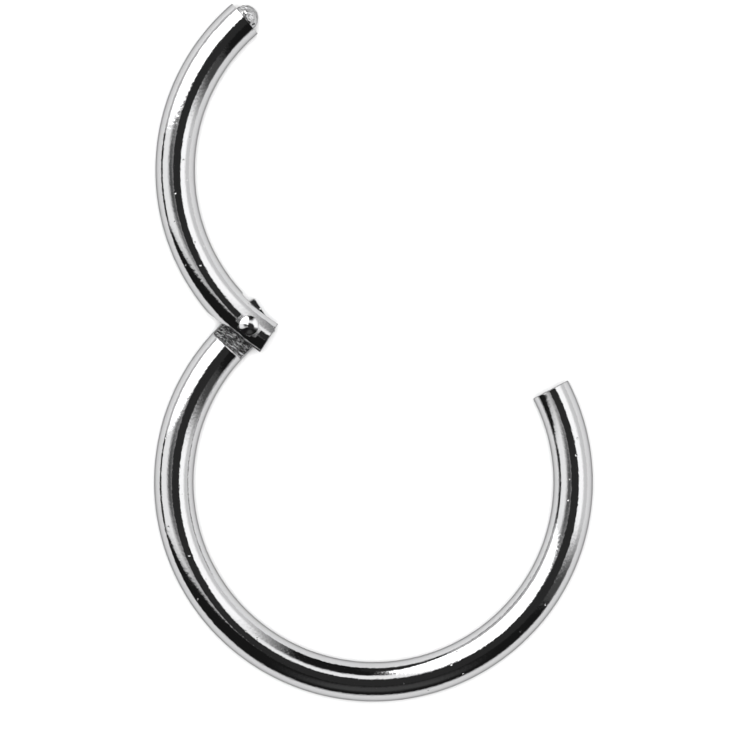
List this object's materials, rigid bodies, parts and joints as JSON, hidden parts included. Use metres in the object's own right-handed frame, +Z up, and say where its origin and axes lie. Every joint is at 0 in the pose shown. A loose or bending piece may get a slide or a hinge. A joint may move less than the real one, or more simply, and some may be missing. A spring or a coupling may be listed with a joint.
{
  "type": "nose ring",
  "caption": "Hinged segment ring for a pierced nose: a wire hoop whose forked segment swings open on a riveted pin and shuts with a round catch in a socket.",
  "frame": {"origin": "centre of the open ring's outline, on the surface that it lies on", "axes": "+Z up along the ring's own axis and the hinge pin, +Y from the hoop's bottom towards the open segment, +X towards the hoop's socket end"},
  "size_m": [0.0114, 0.018, 0.0011],
  "materials": {
    "polished_steel": "polished",
    "riveted_steel": "polished"
  },
  "bodies": {
    "hoop": {"hoop": "polished_steel"},
    "segment": {"segment": "polished_steel", "hinge_pin": "riveted_steel"}
  },
  "joints": [
    {"name": "segment_hinge", "type": "hinge", "parent": "hoop", "child": "segment", "pos_m": [-0.00321, 0.0007, 0.00051], "axis": [0, 0, 1], "range_deg": [-102.7, 0]}
  ]
}
